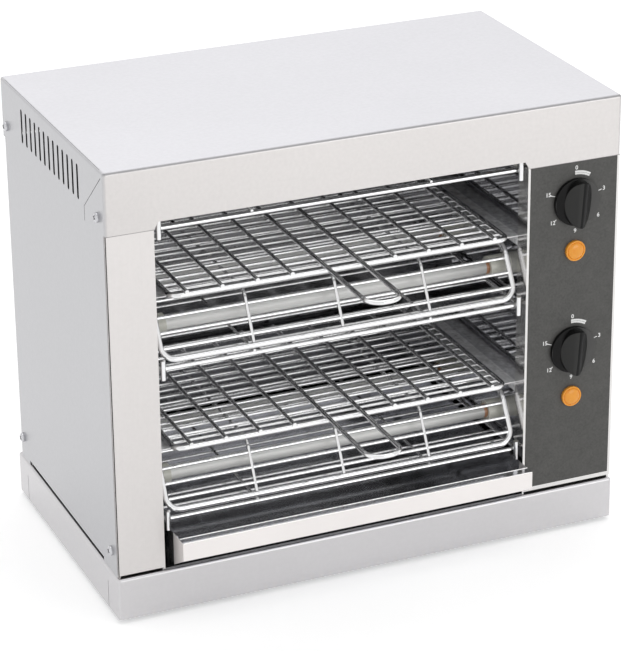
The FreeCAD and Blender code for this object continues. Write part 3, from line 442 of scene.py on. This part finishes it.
dial_centres = {}
for level in levels:
    low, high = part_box(level + "_knob")
    centre = (Vector(low) + Vector(high)) / 2
    dial_centres[level] = centre
    bm = bmesh.new()
    for minute, (inner, outer) in ticks.items():
        degrees = minutes[minute][0]
        ink_patch(bm, centre, inner, outer, degrees - tick_half, degrees + tick_half)
    middle = (band_inner + band_outer) / 2
    for inner, outer in ((band_inner, middle - band_line), (middle + band_line, band_outer)):
        for degrees in band_angles:
            ink_patch(bm, centre, inner, outer, degrees, degrees + band_angles.step)
    bmesh.ops.recalc_face_normals(bm, faces=bm.faces)
    finished(mesh_object(level + "_scale_print", bm), white_ink, "root")
    for minute, (degrees, radius) in minutes.items():
        letters = bpy.data.curves.new("%s_number_%d" % (level, minute), "FONT")
        letters.body = str(minute)
        letters.size = number_size
        letters.align_x = "CENTER"
        letters.align_y = "CENTER"
        letters.extrude = ink_depth / 2
        letters.offset = number_size * number_weight
        letters.materials.append(white_ink.material)
        number = bpy.data.objects.new(letters.name, letters)
        bpy.context.collection.objects.link(number)
        number.location = on_plate(centre, radius, degrees) - Vector((0, ink_depth / 2, 0))
        number.rotation_euler = (math.pi / 2, 0, 0)
        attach(number, "root")

# Timer knobs: black moulded grips with a tall blade across a round skirt.
# Each is pressed on the timer's shaft and turns with it.
# The skirt's right side carries a painted sheen and the blade's left flank painted light, both greyer than the
# black moulding.
knob_black = Finish("knob_black", Specular_IOR_Level=0.16)
mould = knob_black.noise(1500.0, detail=3.0)
handling = knob_black.noise(120.0, detail=4.0, seed=4.0)
frontal = knob_black.normal_part("Y")
leaning = knob_black.axis(knob_black.node("ShaderNodeTexCoord", {}, {}, "Normal"), "X")
# Painted light on the blade's left flank, and a painted sheen on the skirt's right side.
flank_painted_light = (frontal > 0.6) * (leaning < -0.3)
across = knob_black.axis(knob_black.place, "X") - dial_centres["upper"].x
standing = plate_front - knob_black.axis(knob_black.place, "Y")
skirt_painted_sheen = knob_black.ramp(across, -0.004, 0.012) * (frontal > 0.98) * (standing < 0.0045)
black_with_painted_flank = knob_black.blend(flank_painted_light, (0.004, 0.004, 0.004, 1), (0.042, 0.042, 0.041, 1))
knob_black.vary(
    Base_Color=knob_black.blend(skirt_painted_sheen, black_with_painted_flank, (0.085, 0.084, 0.082, 1)),
    Roughness=0.34 + 0.22 * handling,
    Normal=knob_black.relief(mould, 0.00003),
)
knob_radius = 0.0205
knob_skirt = 0.003
knob_crest = 0.0132
knob_foot = 0.0126
knob_grip = 0.0016
knob_round = 0.0005
knob_inset = 0.0003
knob_draft = 0.0009
knob_spare = 0.002
shaft_cover = 0.0004
knob_turn = math.radians(4)


def lathe(bm, rings, centre, count=96, hollow=False):
    """A round solid along Y: rings of (depth, radius) from back to front, or round a hollow section."""
    loops = []
    for depth, radius in rings:
        turns = [2 * math.pi * index / count for index in range(count)]
        spots = [Vector((radius * math.sin(turn), depth, radius * math.cos(turn))) for turn in turns]
        loops.append([bm.verts.new(centre + spot) for spot in spots])
    for first, second in zip(loops, loops[1:] + loops[:1] if hollow else loops[1:]):
        for index in range(count):
            after = (index + 1) % count
            bm.faces.new((first[index], first[after], second[after], second[index]))
    if not hollow:
        bm.faces.new(loops[0])
        bm.faces.new(loops[-1])
    bmesh.ops.recalc_face_normals(bm, faces=bm.faces)


def prism(bm, outline, low, high):
    """A straight solid with an outline in X and Y, from one height to another."""
    rows = [[bm.verts.new((x, y, z)) for x, y in outline] for z in (low, high)]
    bm.faces.new(rows[0])
    bm.faces.new(rows[1])
    for index in range(len(outline)):
        after = (index + 1) % len(outline)
        bm.faces.new((rows[0][index], rows[0][after], rows[1][after], rows[1][index]))
    bmesh.ops.recalc_face_normals(bm, faces=bm.faces)


def shaped(name, build, *values):
    """An object from one of the shapes above."""
    bm = bmesh.new()
    build(bm, *values)
    return mesh_object(name, bm)


def settle(thing):
    """Apply an object's modifiers to its mesh."""
    graph = bpy.context.evaluated_depsgraph_get()
    mesh = bpy.data.meshes.new_from_object(thing.evaluated_get(graph))
    thing.modifiers.clear()
    thing.data = mesh


def carve(base, operation, tool):
    """Combine a mesh with another and take the other away."""
    boolean = base.modifiers.new("shape", "BOOLEAN")
    boolean.operation = operation
    boolean.solver = "EXACT"
    boolean.object = tool
    settle(base)
    bpy.data.objects.remove(tool)


def smooth(thing):
    for face in thing.data.polygons:
        face.use_smooth = True


for level in levels:
    low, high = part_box(level + "_knob")
    base = Vector((dial_centres[level].x, high[1], dial_centres[level].z))
    there, back = Matrix.Translation(base), Matrix.Translation(-base)
    rings = ((-knob_skirt / 2, knob_radius - knob_inset), (-knob_crest - knob_spare, knob_radius - knob_draft))
    knob = shaped(level + "_knob_moulding", lathe, rings, base)
    knob.data.transform(there @ Matrix.Diagonal((knob_foot / knob_radius, 1, 1, 1)) @ back)
    shaft_low, shaft_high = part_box(level + "_timer_shaft")
    shoulder = ((shaft_high[0] - shaft_low[0]) / 2 + knob_inset, base.y - shaft_low[1] + shaft_cover)
    right = [(knob_foot, knob_skirt), shoulder, (knob_grip / 2, knob_crest)]
    outline = [(-x, depth) for x, depth in right] + [(x, depth) for x, depth in reversed(right)]
    outline += [(knob_foot, 0), (-knob_foot, 0)]
    outline = [(base.x + x, base.y - depth) for x, depth in outline]
    reach = knob_radius * 1.1
    carve(knob, "INTERSECT", shaped("wedge", prism, outline, base.z - reach, base.z + reach))
    knob.data.transform(there @ Matrix.Rotation(knob_turn, 4, "Y") @ back)
    carve(knob, "UNION", shaped("skirt", lathe, ((0, knob_radius), (-knob_skirt, knob_radius)), base))
    bevel = knob.modifiers.new("round", "BEVEL")
    bevel.width = knob_round
    bevel.segments = 3
    bevel.limit_method = "ANGLE"
    bevel.angle_limit = math.radians(25)
    bevel.harden_normals = True
    settle(knob)
    smooth(knob)
    finished(knob, knob_black, level + "_knob_body")
    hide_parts(level + "_knob")

# Pilot lamps: amber caps with a raised ring round a low dome, one under each timer.
# Ring and dome are one translucent moulding over a neon lamp.
gloss = {"Coat_Weight": 0.35, "Coat_Roughness": 0.05, "Specular_IOR_Level": 0.35}
amber = Finish("amber_lens", Emission_Strength=0.05, **gloss)
swirl = amber.noise(300.0, detail=2.0)
amber.vary(
    Base_Color=amber.blend(swirl, (0.80, 0.27, 0.012, 1), (0.88, 0.38, 0.028, 1)),
    Roughness=0.20 + 0.10 * swirl,
    Emission_Color=amber.blend(swirl, (0.95, 0.38, 0.05, 1), (1.0, 0.52, 0.12, 1)),
)
for level in levels:
    low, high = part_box(level + "_lamp_bezel")
    lens_low, lens_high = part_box(level + "_lamp_lens")
    centre = Vector(((low[0] + high[0]) / 2, high[1], (low[2] + high[2]) / 2))
    rise = high[1] - low[1]
    outer = (high[0] - low[0]) / 2
    inner = (lens_high[0] - lens_low[0]) / 2
    half = (outer - inner) / 2
    crown = half * 0.8
    rim = [(0, inner), (0, outer)]
    for turn in [math.pi * step / 8 for step in range(9)]:
        rim.append((-rise + crown - crown * math.sin(turn), (outer + inner) / 2 + half * math.cos(turn)))
    ring = shaped(level + "_lamp_ring", lathe, rim, centre, 72, True)
    swell = (lens_high[1] - lens_low[1]) / 2
    dome = [(lens_high[1] - centre.y, inner)]
    for turn in [math.pi / 2 * step / 8 for step in range(8)]:
        dome.append((lens_low[1] - centre.y + swell * (1 - math.sin(turn)), inner * math.cos(turn)))
    lens = shaped(level + "_lamp_dome", lathe, dome, centre)
    for part, node, slot in ((ring, "_lamp_bezel", "lamp_rim"), (lens, "_lamp_lens", "lamp_lens")):
        smooth(part)
        finished(part, amber, "root")
        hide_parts(level + node)

# Cover screws: pan heads with a cross recess, four on each side of the body.
# They are plated bright, like the timers' shafts.
screw_plating = steel("screw_plating", (0.55, 0.55, 0.57), 0.08, "X", spread=0.3)
dress(screw_plating, "upper_timer_shaft", "lower_timer_shaft")
screw_low, screw_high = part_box("cover_screws")
screw_y = 0.116
screw_heights = (0.061, 0.350)
screw_radius = screw_high[1] - screw_y
head_rise = cover_low[0] - screw_low[0]
head_wall = 0.45
head_seat = 0.0002
rings = [(head_seat, screw_radius), (-head_rise * head_wall, screw_radius)]
for turn in [math.pi / 2 * step / 5 for step in range(1, 5)]:
    height = head_rise * (head_wall + (1 - head_wall) * math.sin(turn))
    rings.append((-height, screw_radius * math.cos(turn) ** 0.6))
head = shaped("screw_head", lathe, rings, Vector((0, 0, 0)), 40)
for turn in (0, math.pi / 2):
    bm = bmesh.new()
    bmesh.ops.create_cube(bm, size=1)
    shape = Matrix.Diagonal((screw_radius * 1.15, head_rise * 1.1, screw_radius * 0.26, 1))
    place = Matrix.Translation((0, -head_rise, 0)) @ Matrix.Rotation(math.radians(20) + turn, 4, "Y")
    bmesh.ops.transform(bm, matrix=place @ shape, verts=bm.verts)
    carve(head, "DIFFERENCE", mesh_object("recess", bm))
bm = bmesh.new()
for hand, edge in ((-1, cover_low[0]), (1, cover_high[0])):
    for along in (-screw_y, screw_y):
        for height in screw_heights:
            before = len(bm.verts)
            bm.from_mesh(head.data)
            bm.verts.ensure_lookup_table()
            place = Matrix.Translation((edge, along, height)) @ Matrix.Rotation(hand * math.pi / 2, 4, "Z")
            bmesh.ops.transform(bm, matrix=place, verts=bm.verts[before:])
screws = finished(mesh_object("cover_screw_heads", bm), screw_plating, "root")
bpy.data.objects.remove(head)
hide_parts("cover_screws")

# Mains entry and the electrical parts inside: moulded pieces, screwed or snapped in place.
# The gland and its nut are black, and the timers, lamps and terminals cream.
gland_black = Finish("gland_black", Specular_IOR_Level=0.4)
speckle = gland_black.noise(800.0)
gland_black.vary(
    Base_Color=gland_black.blend(speckle, (0.012, 0.012, 0.012, 1), (0.03, 0.03, 0.03, 1)),
    Roughness=0.4 + 0.2 * speckle,
)
dress(gland_black, "cable_gland", "gland_nut")
cream = Finish("cream_moulding", Specular_IOR_Level=0.4)
flow = cream.noise(400.0)
cream.vary(
    Base_Color=cream.blend(flow, (0.66, 0.63, 0.54, 1), (0.76, 0.73, 0.65, 1)),
    Roughness=0.45 + 0.2 * flow,
)
dress(cream, "terminal_block")
for level in levels:
    dress(cream, level + "_timer", level + "_lamp_body")

# Floor and light: a pale bench top, a white room and three large soft lamps.
# The bench keeps the shadow, and is lifted to white only where the camera or a reflection sees it.
bench_finish = Finish("bench", Specular_IOR_Level=0.1, Emission_Strength=1.0)
tint = bench_finish.noise(3.0)
ray_kinds = ["Is %s Ray" % kind for kind in ("Camera", "Glossy", "Transmission")]
rays = [bench_finish.node("ShaderNodeLightPath", {}, {}, kind) for kind in ray_kinds]
bench_finish.vary(
    Base_Color=bench_finish.blend(tint, (0.90, 0.90, 0.90, 1), (0.93, 0.93, 0.93, 1)),
    Roughness=0.8 + 0.1 * tint,
    Emission_Color=bench_finish.shade((0.36, 0.36, 0.36, 1), rays[0] + rays[1] + rays[2]),
)
bm = bmesh.new()
bmesh.ops.create_grid(bm, x_segments=1, y_segments=1, size=12)
bench = mesh_object("bench", bm)
bench.data.materials.append(bench_finish.material)

room = bpy.data.worlds.new("room")
bpy.context.scene.world = room
room.use_nodes = True
tree = room.node_tree
path = tree.nodes.new("ShaderNodeLightPath")
seen = path.outputs[ray_kinds[0]]
for kind in ray_kinds[1:]:
    either = tree.nodes.new("ShaderNodeMath")
    either.operation = "MAXIMUM"
    tree.links.new(seen, either.inputs[0])
    tree.links.new(path.outputs[kind], either.inputs[1])
    seen = either.outputs[0]
mix = tree.nodes.new("ShaderNodeMix")
mix.data_type = "RGBA"
mix.inputs[6].default_value = (0.72, 0.72, 0.72, 1)
mix.inputs[7].default_value = (1, 1, 1, 1)
tree.links.new(seen, mix.inputs[0])
tree.links.new(mix.outputs[2], tree.nodes["Background"].inputs["Color"])


def softbox(name, place, width, height, watts):
    """A large soft lamp that looks at the middle of the machine."""
    data = bpy.data.lights.new(name, "AREA")
    data.shape = "RECTANGLE"
    data.size = width
    data.size_y = height
    data.energy = watts
    lamp = bpy.data.objects.new(name, data)
    bpy.context.collection.objects.link(lamp)
    lamp.location = place
    lamp.rotation_euler = (Vector((0, 0, 0.2)) - Vector(place)).to_track_quat("-Z", "Y").to_euler()


softbox("top_light", (0.3, 0.4, 2.2), 2.4, 2.0, 11)
softbox("front_light", (0.9, -2.2, 0.5), 1.2, 0.8, 6)
softbox("left_light", (-2.2, -0.6, 1.0), 1.6, 1.2, 1)
